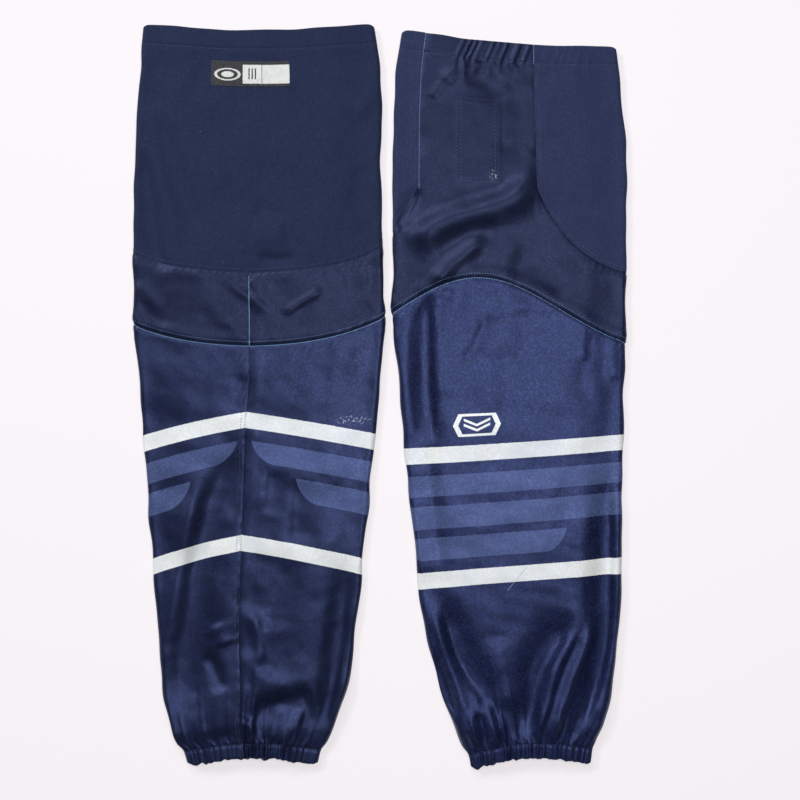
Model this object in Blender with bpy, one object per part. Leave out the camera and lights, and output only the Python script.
"""A pair of cut-and-sew ice hockey leg covers, lying flat side by side.

Each cover is an open tube of knitted cloth: a stretch panel behind the thigh, a shiny panel over the thigh
that widens into a band round the knee, and a shin panel down to a gathered ankle. An elastic runs in a casing
at each end. The left cover lies with its back up, the right one with its front up. +X runs across the pair,
+Y towards the waist ends and +Z up. The origin is the centre of the pair, on the surface that it lies on.

A place on a cover is (f, d): f is the distance round the tube from its front centre line and d is the
distance down from its waist edge. The tube lies flattened, so a place also has a depth under the outside.
"""

import math

import bmesh
import bpy
from mathutils import Vector

# Cloth, seams and clearances, in metres.
CLOTH = 0.0010
GAP = 0.0003
SEAM_HALF = 0.0010
SEAM_DEPTH = 0.0009
PANEL_TO_SEAM = SEAM_HALF + GAP
GIRTH = 0.480
BACK = GIRTH / 2
WELD = 0.000001
COLUMN_LEAST = 0.0015

# Casings: two walls of cloth with an elastic between them. Heights are (casing, elastic).
CASING_WALL = 0.0009
ELASTIC_THICKNESS = 0.0008
CASING_DEPTH = 2 * CASING_WALL + ELASTIC_THICKNESS + 2 * GAP
WAIST_HEIGHTS = (0.0205, 0.0180)
ANKLE_HEIGHTS = (0.0160, 0.0130)

# The flattened tube: the share of the loop that each folded edge takes, and the shape of the upper layer.
FOLD_SHARE = 0.02
FOLD_STEPS = 6
FLAT_STEPS = 10
DOME_FLAT = 0.6

# Pattern lines, measured down from the waist edge.
PANEL_TOP = WAIST_HEIGHTS[0] + GAP
SIDE_SEAM = 0.12 * GIRTH
SIDE_SEAM_END = 0.144
REAR_PANEL_LOW = 0.244
REAR_PANEL_BEND = 0.043
BEND_MARKS = (0.010, 0.022, 0.036)
KNEE_SEAM_LOW = 0.3165
KNEE_SEAM_RISE = 0.0825
KNEE_SEAM_WIDTH = 0.1135

# Trim.
LABEL_HALF = (0.0372, 0.0125)
LABEL_AT = 0.0440
EMBLEM_HALF = (0.0250, 0.0110)
EMBLEM_AT = 0.3790
LOOP_PATCH_HALF = (0.0225, 0.0420)
LOOP_PATCH_AT = 0.0990
LOOP_PATCH_THICKNESS = 0.0010
TRIM_THICKNESS = 0.0005
TRIM_RECESS = 0.0009
RECESS_MARGIN = 0.0020
RECESS_SLOPE = 0.0020
PLATE_STEPS = 10
CORNER_FALL = 0.75

# What differs between the two covers. Tables run down the leg: (d, value ...).
COVERS = {
    "left": {
        "waist_y": 0.3662,
        "length": 0.727,
        "knee_fold": 0.328,
        "front_up": False,
        "turn": {"thigh": -0.018, "shin": -0.040},
        "edges": (
            (0.000, -0.2370, -0.0060),
            (0.050, -0.2410, 0.0005),
            (0.150, -0.2460, 0.0005),
            (0.250, -0.2470, 0.0030),
            (0.300, -0.2462, 0.0040),
            (0.360, -0.2400, -0.0010),
            (0.460, -0.2325, -0.0105),
            (0.599, -0.2220, -0.0250),
            (0.655, -0.2167, -0.0335),
            (0.690, -0.2095, -0.0475),
            (0.706, -0.2030, -0.0545),
            (0.727, -0.1925, -0.0620),
        ),
        "tilt": ((0.000, 0.000), (0.328, 0.000), (0.727, 0.010)),
        "bow": ((0.000, 0.008), (0.328, 0.000), (0.727, -0.009)),
    },
    "right": {
        "waist_y": 0.3532,
        "length": 0.714,
        "knee_fold": 0.328,
        "front_up": True,
        "turn": {"thigh": -0.067, "shin": -0.081},
        "edges": (
            (0.000, 0.0220, 0.2365),
            (0.040, 0.0165, 0.2410),
            (0.100, 0.0135, 0.2460),
            (0.200, 0.0130, 0.2470),
            (0.290, 0.0140, 0.2460),
            (0.350, 0.0200, 0.2440),
            (0.410, 0.0260, 0.2430),
            (0.532, 0.0390, 0.2420),
            (0.586, 0.0475, 0.2394),
            (0.644, 0.0630, 0.2317),
            (0.676, 0.0765, 0.2235),
            (0.695, 0.0860, 0.2145),
            (0.714, 0.0915, 0.2105),
        ),
        "tilt": (
            (0.000, -0.078),
            (0.100, -0.050),
            (0.240, 0.010),
            (0.328, 0.020),
            (0.400, 0.066),
            (0.525, 0.072),
            (0.714, 0.040),
        ),
        "bow": ((0.000, 0.007), (0.328, 0.000), (0.714, -0.011)),
    },
}
FOLD_RADIUS = ((0.000, 0.0045), (0.300, 0.0045), (0.600, 0.0045), (0.740, 0.0052))
DOME = ((0.000, 0.0052), (0.300, 0.0052), (0.600, 0.0050), (0.740, 0.0050))

MATERIALS = {
    "stretch_knit": ((0.026, 0.034, 0.075), 0.85),
    "sheen_knit": ((0.020, 0.027, 0.066), 0.42),
    "printed_knit": ((0.024, 0.032, 0.085), 0.50),
    "elastic": ((0.030, 0.032, 0.040), 0.70),
    "thread": ((0.120, 0.220, 0.380), 0.60),
    "label": ((0.620, 0.630, 0.610), 0.65),
    "emblem": ((0.700, 0.710, 0.690), 0.40),
    "hook_and_loop": ((0.020, 0.024, 0.045), 0.90),
}


def smooth(table, d, column=1):
    """A table's value at d, on a smooth curve through its rows."""
    rows = [(row[0], row[column]) for row in table]
    if d <= rows[0][0]:
        return rows[0][1]
    if d >= rows[-1][0]:
        return rows[-1][1]
    k = next(i for i in range(len(rows) - 1) if d <= rows[i + 1][0])

    def slope(i):
        low, high = max(i - 1, 0), min(i + 1, len(rows) - 1)
        return (rows[high][1] - rows[low][1]) / (rows[high][0] - rows[low][0])

    (d0, v0), (d1, v1) = rows[k], rows[k + 1]
    span = d1 - d0
    t = (d - d0) / span
    start = (1 + 2 * t) * (1 - t) ** 2 * v0 + t * (1 - t) ** 2 * span * slope(k)
    end = t * t * (3 - 2 * t) * v1 + t * t * (t - 1) * span * slope(k + 1)
    return start + end


def rear_edge(f):
    """How far down the curved foot of the stretch panel lies at f, between the side seams."""
    f = min(f % GIRTH, GIRTH - f % GIRTH)
    rise = REAR_PANEL_LOW - SIDE_SEAM_END
    return REAR_PANEL_LOW - rise * math.exp(-(f - SIDE_SEAM) / REAR_PANEL_BEND)


def knee_edge(f):
    """How far down the arched seam between knee band and shin panel lies at f."""
    f = abs(f - GIRTH * round(f / GIRTH))
    return KNEE_SEAM_LOW - KNEE_SEAM_RISE * math.exp(-((f / KNEE_SEAM_WIDTH) ** 2))


def beside(edge, distance):
    """The curve that runs alongside edge, further down the leg by a distance square to it."""

    def curve(f):
        step = 0.0005
        slope = (edge(f + step) - edge(f - step)) / (2 * step)
        return edge(f) + distance * math.hypot(1, slope)

    return curve


class Tube:
    """One half of a cover, thigh or shin: where each (f, d, depth) lies in space."""

    def __init__(self, side, half):
        self.cover = COVERS[side]
        self.front_at = self.cover["turn"][half] + (0.0 if self.cover["front_up"] else 0.5)

    def point(self, f, d, depth=0.0):
        """The loop's share q is 0 in the middle of the upper layer and 0.5 in the middle of the lower one."""
        cover = self.cover
        x_low, x_high = smooth(cover["edges"], d, 1), smooth(cover["edges"], d, 2)
        half_width, middle = (x_high - x_low) / 2, (x_high + x_low) / 2
        radius = smooth(FOLD_RADIUS, d)
        q = (self.front_at + f / GIRTH) % 1.0
        hand = 1 if q <= 0.5 else -1
        q = min(q, 1 - q)
        flat = half_width - radius
        if q < 0.25 - FOLD_SHARE:
            across = q / (0.25 - FOLD_SHARE)
            fall = max(0.0, (across - DOME_FLAT) / (1 - DOME_FLAT))
            dome = smooth(DOME, d) * (1 - fall * fall * (3 - 2 * fall))
            out, up, normal = flat * across, 2 * radius + dome, (0, 1)
        elif q > 0.25 + FOLD_SHARE:
            out, up, normal = flat * (0.5 - q) / (0.25 - FOLD_SHARE), 0.0, (0, -1)
        else:
            angle = (q - 0.25 + FOLD_SHARE) / (2 * FOLD_SHARE) * math.pi
            normal = (math.sin(angle), math.cos(angle))
            out, up = flat + radius * normal[0], radius + radius * normal[1]
        share = out / half_width
        y = cover["waist_y"] - d + smooth(cover["tilt"], d) * hand * out + smooth(cover["bow"], d) * share**2
        return Vector((middle + hand * (out - depth * normal[0]), y, up - depth * normal[1]))

    def columns(self, f_start, f_end, extra=()):
        """Places round the loop from f_start to f_end, close together where the tube folds over."""
        shares = []
        for turn in range(-2, 3):
            for fold in (turn + 0.25, turn + 0.75):
                shares += [fold + FOLD_SHARE * (2 * k / FOLD_STEPS - 1) for k in range(FOLD_STEPS + 1)]
                flat = 0.5 - 2 * FOLD_SHARE
                shares += [fold + FOLD_SHARE + flat * k / FLAT_STEPS for k in range(1, FLAT_STEPS)]
        kept = [f_start, f_end, *[f for f in extra if f_start < f < f_end]]
        for f in sorted((share - self.front_at) * GIRTH for share in shares):
            if f_start < f < f_end and min(abs(f - other) for other in kept) > COLUMN_LEAST:
                kept.append(f)
        return sorted(kept)


def between(low, high, steps):
    return [low + (high - low) * k / steps for k in range(steps + 1)]


def ruled(upper, lower, shares, closed=False):
    """Quads between two lines with the same number of (f, d) points, in rows at the given shares."""
    pairs = list(zip(upper, lower))
    if closed:
        (f_up, d_up), (f_low, d_low) = pairs[0]
        pairs.append(((f_up + GIRTH, d_up), (f_low + GIRTH, d_low)))

    def place(pair, share):
        (f_up, d_up), (f_low, d_low) = pair
        return (f_up + (f_low - f_up) * share, d_up + (d_low - d_up) * share)

    return [
        (place(a, s), place(a, t), place(b, t), place(b, s))
        for a, b in zip(pairs, pairs[1:])
        for s, t in zip(shares, shares[1:])
    ]


def band(columns, top, low, shares, closed=False):
    """Quads between the curves top and low, which give d for each f of columns."""
    return ruled([(f, top(f)) for f in columns], [(f, low(f)) for f in columns], shares, closed)


def level(d):
    return lambda f: d


def material(slot):
    found = bpy.data.materials.get(slot)
    if found:
        return found
    colour, roughness = MATERIALS[slot]
    made = bpy.data.materials.new(slot)
    made.use_nodes = True
    shader = made.node_tree.nodes["Principled BSDF"]
    shader.inputs["Base Color"].default_value = (*colour, 1.0)
    shader.inputs["Roughness"].default_value = roughness
    shader.inputs["Metallic"].default_value = 0.0
    return made


def add_object(bm, name, slot):
    bmesh.ops.recalc_face_normals(bm, faces=bm.faces)
    mesh = bpy.data.meshes.new(name)
    bm.to_mesh(mesh)
    bm.free()
    mesh.materials.append(material(slot))
    mesh.shade_smooth()
    mesh.set_sharp_from_angle(angle=math.radians(40))
    made = bpy.data.objects.new(name, mesh)
    bpy.context.scene.collection.objects.link(made)
    return made


def add_cloth(name, slot, tube, quads, outer=0.0, inner=CLOTH, sunk=None):
    """The quads as one closed solid between two depths. sunk(f, d) presses both of them in."""
    bm = bmesh.new()
    place = bm.verts.layers.float_vector.new("place")
    corners = {}

    def corner(f, d):
        key = (round((f % GIRTH) / WELD) % round(GIRTH / WELD), round(d / WELD))
        if key not in corners:
            pressed = sunk(f, d) if sunk else 0.0
            corners[key] = bm.verts.new(tube.point(f, d, outer + pressed))
            corners[key][place] = (f, d, inner + pressed)
        return corners[key]

    for quad in quads:
        bm.faces.new([corner(f, d) for f, d in quad])
    for moved in bmesh.ops.extrude_face_region(bm, geom=bm.faces[:], use_keep_orig=True)["geom"]:
        if isinstance(moved, bmesh.types.BMVert):
            moved.co = tube.point(*moved[place])
    return add_object(bm, name, slot)


def add_swept(name, slot, tube, section, stops, closed=False):
    """A section of (depth, d) corners carried round the tube past the stops, each a value of f."""
    bm = bmesh.new()
    loops = [[bm.verts.new(tube.point(f, d, depth)) for depth, d in section] for f in stops]
    following = loops[1:] + loops[:1] if closed else loops[1:]
    for here, there in zip(loops, following):
        for k, corner in enumerate(here):
            bm.faces.new((here[k - 1], corner, there[k], there[k - 1]))
    if not closed:
        bm.faces.new(loops[0])
        bm.faces.new(loops[-1])
    return add_object(bm, name, slot)


def casing_section(edge, towards, heights):
    """The U of turned-over cloth: edge is its fold, and towards is +1 if it opens down the leg, else -1."""
    far, bottom = edge + towards * heights[0], edge + towards * CASING_WALL
    inner = CASING_DEPTH - CASING_WALL
    outside = ((0.0, edge), (CASING_DEPTH, edge), (CASING_DEPTH, far), (inner, far))
    inside = ((inner, bottom), (CASING_WALL, bottom), (CASING_WALL, far), (0.0, far))
    return outside + inside


def elastic_section(edge, towards, heights):
    """The flat elastic inside a casing, clear of it all round."""
    near, out = edge + towards * (CASING_WALL + GAP), CASING_WALL + GAP
    far, deep = near + towards * heights[1], out + ELASTIC_THICKNESS
    return ((out, near), (deep, near), (deep, far), (out, far))


def pressed_in(half, centre_f, centre_d):
    """How deep cloth is pressed in where it lies on a trim piece of the given half size."""

    def sunk(f, d):
        f = abs((f - centre_f + GIRTH / 2) % GIRTH - GIRTH / 2)
        beyond = max(f - half[0], abs(d - centre_d) - half[1])
        return TRIM_RECESS if beyond < RECESS_MARGIN + RECESS_SLOPE / 2 else 0.0

    return sunk


def recess_marks(half, centre):
    """Where the slopes round a recess start and end, on either side of its centre."""
    near = half + RECESS_MARGIN
    far = near + RECESS_SLOPE
    return [centre - far, centre - near, centre + near, centre + far]


def plate(half, centre_f, centre_d, corner_cut=0.0):
    """Quads of a small upright plate, whose corners are cut back by a share of its half width."""
    upper, lower = [], []
    for across in between(-1, 1, PLATE_STEPS):
        beyond = max(0.0, abs(across) - (1 - corner_cut))
        tall = half[1] * (1 - CORNER_FALL * beyond / corner_cut if corner_cut else 1)
        upper.append((centre_f + across * half[0], centre_d - tall))
        lower.append((centre_f + across * half[0], centre_d + tall))
    return ruled(upper, lower, (0, 0.5, 1))


def add_trim(side, tube_thigh, tube_shin):
    """The label behind the waist, the emblem on the shin and the patch inside the front.

    The label or the emblem, whichever is underneath, lies in a recess of its panel.
    """
    face_up = COVERS[side]["front_up"]
    over = {"outer": -GAP - TRIM_THICKNESS, "inner": -GAP}
    under = {"outer": 0.0, "inner": TRIM_THICKNESS}
    label = plate(LABEL_HALF, BACK, LABEL_AT)
    add_cloth(f"{side}_size_label", "label", tube_thigh, label, **(under if face_up else over))
    emblem = plate(EMBLEM_HALF, 0.0, EMBLEM_AT, corner_cut=0.4)
    add_cloth(f"{side}_shin_emblem", "emblem", tube_shin, emblem, **(over if face_up else under))
    patch = plate(LOOP_PATCH_HALF, 0.0, LOOP_PATCH_AT)
    start = CLOTH + GAP
    end = start + LOOP_PATCH_THICKNESS
    add_cloth(f"{side}_loop_patch", "hook_and_loop", tube_thigh, patch, outer=start, inner=end)


def add_waist(side, tube):
    """The elastic and its casing, which the side seams part into a front and a rear length."""
    section = casing_section(0.0, 1, WAIST_HEIGHTS)
    rear = tube.columns(SIDE_SEAM + PANEL_TO_SEAM, GIRTH - SIDE_SEAM - PANEL_TO_SEAM)
    front = tube.columns(-SIDE_SEAM + PANEL_TO_SEAM, SIDE_SEAM - PANEL_TO_SEAM)
    add_swept(f"{side}_rear_waist_casing", "stretch_knit", tube, section, rear)
    add_swept(f"{side}_front_waist_casing", "sheen_knit", tube, section, front)
    all_round = tube.columns(0.0, GIRTH)[:-1]
    section = elastic_section(0.0, 1, WAIST_HEIGHTS)
    add_swept(f"{side}_waist_elastic", "elastic", tube, section, all_round, closed=True)


def shin_columns(tube, half_opening=PANEL_TO_SEAM):
    """The columns of the shin, from one side of an opening at the centre back round to the other."""
    return tube.columns(half_opening - BACK, BACK - half_opening, recess_marks(EMBLEM_HALF[0], 0.0))


def add_ankle(side, tube):
    edge = COVERS[side]["length"]
    section = casing_section(edge, -1, ANKLE_HEIGHTS)
    add_swept(f"{side}_ankle_casing", "printed_knit", tube, section, shin_columns(tube))
    all_round = shin_columns(tube, 0.0)[:-1]
    section = elastic_section(edge, -1, ANKLE_HEIGHTS)
    add_swept(f"{side}_ankle_elastic", "elastic", tube, section, all_round, closed=True)


def add_rear_thigh_panel(side, tube, marks):
    columns = tube.columns(SIDE_SEAM + PANEL_TO_SEAM, GIRTH - SIDE_SEAM - PANEL_TO_SEAM, marks)
    recess_rows = recess_marks(LABEL_HALF[1], LABEL_AT)
    shelf = recess_rows[-1]
    rows = [(d - PANEL_TOP) / (shelf - PANEL_TOP) for d in (PANEL_TOP, *recess_rows)]
    quads = band(columns, level(PANEL_TOP), level(shelf), rows)
    quads += band(columns, level(shelf), beside(rear_edge, -PANEL_TO_SEAM), between(0, 1, 5))
    sunk = pressed_in(LABEL_HALF, BACK, LABEL_AT) if COVERS[side]["front_up"] else None
    add_cloth(f"{side}_rear_thigh_panel", "stretch_knit", tube, quads, sunk=sunk)


def add_front_thigh_panel(side, tube, marks):
    """A strip between the side seams, over a band that reaches right round the knee to the centre back."""
    side_edge = SIDE_SEAM - PANEL_TO_SEAM
    band_top = beside(rear_edge, PANEL_TO_SEAM)
    shoulder = band_top(side_edge)

    def top(f):
        return shoulder if abs(f) <= side_edge else band_top(f)

    columns = tube.columns(PANEL_TO_SEAM - BACK, BACK - PANEL_TO_SEAM, [-side_edge, side_edge, *marks])
    strip = [f for f in columns if abs(f) <= side_edge]
    quads = band(strip, level(PANEL_TOP), level(shoulder), between(0, 1, 4))
    quads += band(columns, top, beside(knee_edge, -PANEL_TO_SEAM), between(0, 1, 4))
    add_cloth(f"{side}_front_thigh_panel", "sheen_knit", tube, quads)


def add_thigh_seams(side, tube, marks):
    """The thread bands between the panels, each level with the cloth on both sides of it."""
    first, last = SIDE_SEAM + SEAM_HALF, GIRTH - SIDE_SEAM - SEAM_HALF
    above, below = beside(rear_edge, -SEAM_HALF), beside(rear_edge, SEAM_HALF)
    curve = tube.columns(first, last, marks)
    upper = [(f, above(f)) for f in curve]
    lower = [(f, below(f)) for f in curve]
    lower[0] = (SIDE_SEAM - SEAM_HALF, below(SIDE_SEAM - SEAM_HALF))
    lower[-1] = (GIRTH - lower[0][0], lower[0][1])
    steps = between(0, 1, 5)[:-1]
    upper = [(first, upper[0][1] * s) for s in steps] + upper + [(last, upper[0][1] * s) for s in steps[::-1]]
    near, far, drop = lower[0][0], lower[-1][0], lower[0][1]
    lower = [(near, drop * s) for s in steps] + lower + [(far, drop * s) for s in steps[::-1]]
    add_cloth(f"{side}_thigh_seam", "thread", tube, ruled(upper, lower, (0, 1)), inner=SEAM_DEPTH)

    ring = tube.columns(-BACK, BACK, marks)[:-1]
    quads = band(ring, beside(knee_edge, -SEAM_HALF), beside(knee_edge, SEAM_HALF), (0, 1), closed=True)
    add_cloth(f"{side}_knee_seam", "thread", tube, quads, inner=SEAM_DEPTH)
    start, end = rear_edge(BACK) + SEAM_HALF + GAP, knee_edge(BACK) - SEAM_HALF - GAP
    add_back_seam(f"{side}_knee_back_seam", tube, between(start, end, 3))


def add_back_seam(name, tube, rows):
    """A thread band down the centre back, through the given places down the leg."""
    shares = [(d - rows[0]) / (rows[-1] - rows[0]) for d in rows]
    quads = band((BACK - SEAM_HALF, BACK + SEAM_HALF), level(rows[0]), level(rows[-1]), shares)
    add_cloth(name, "thread", tube, quads, inner=SEAM_DEPTH)


def add_shin(side, tube_thigh, tube_shin, marks):
    """The shin panel is one cloth, split at the line where the cover folds so that each side can turn."""
    fold = COVERS[side]["knee_fold"]
    ring = tube_thigh.columns(-BACK, BACK, marks)[:-1]
    quads = band(ring, beside(knee_edge, PANEL_TO_SEAM), level(fold - GAP), between(0, 1, 3), closed=True)
    add_cloth(f"{side}_shin_panel_top", "printed_knit", tube_thigh, quads)

    length = COVERS[side]["length"]
    end = length - ANKLE_HEIGHTS[0] - GAP
    recess_rows = recess_marks(EMBLEM_HALF[1], EMBLEM_AT)
    rows = [fold + GAP, *recess_rows, *between(recess_rows[-1], end, 10)[1:]]
    shares = [(d - rows[0]) / (end - rows[0]) for d in rows]
    columns = shin_columns(tube_shin)
    quads = band(columns, level(rows[0]), level(end), shares)
    sunk = None if COVERS[side]["front_up"] else pressed_in(EMBLEM_HALF, 0.0, EMBLEM_AT)
    add_cloth(f"{side}_shin_panel", "printed_knit", tube_shin, quads, sunk=sunk)
    add_back_seam(f"{side}_shin_back_seam", tube_shin, [*between(fold + GAP, end, 12), length])


def pattern_marks():
    """Extra columns where the stretch panel's foot bends most and beside the label, all the way round."""
    marks = [BACK, *recess_marks(LABEL_HALF[0], BACK)]
    marks += [SIDE_SEAM + mark for mark in BEND_MARKS] + [GIRTH - SIDE_SEAM - mark for mark in BEND_MARKS]
    return marks + [mark - GIRTH for mark in marks] + [0.0]


def main():
    for old in list(bpy.data.objects):
        bpy.data.objects.remove(old, do_unlink=True)
    marks = pattern_marks()
    for side in COVERS:
        thigh, shin = Tube(side, "thigh"), Tube(side, "shin")
        add_waist(side, thigh)
        add_rear_thigh_panel(side, thigh, marks)
        add_front_thigh_panel(side, thigh, marks)
        add_thigh_seams(side, thigh, marks)
        add_shin(side, thigh, shin, marks)
        add_ankle(side, shin)
        add_trim(side, thigh, shin)


main()
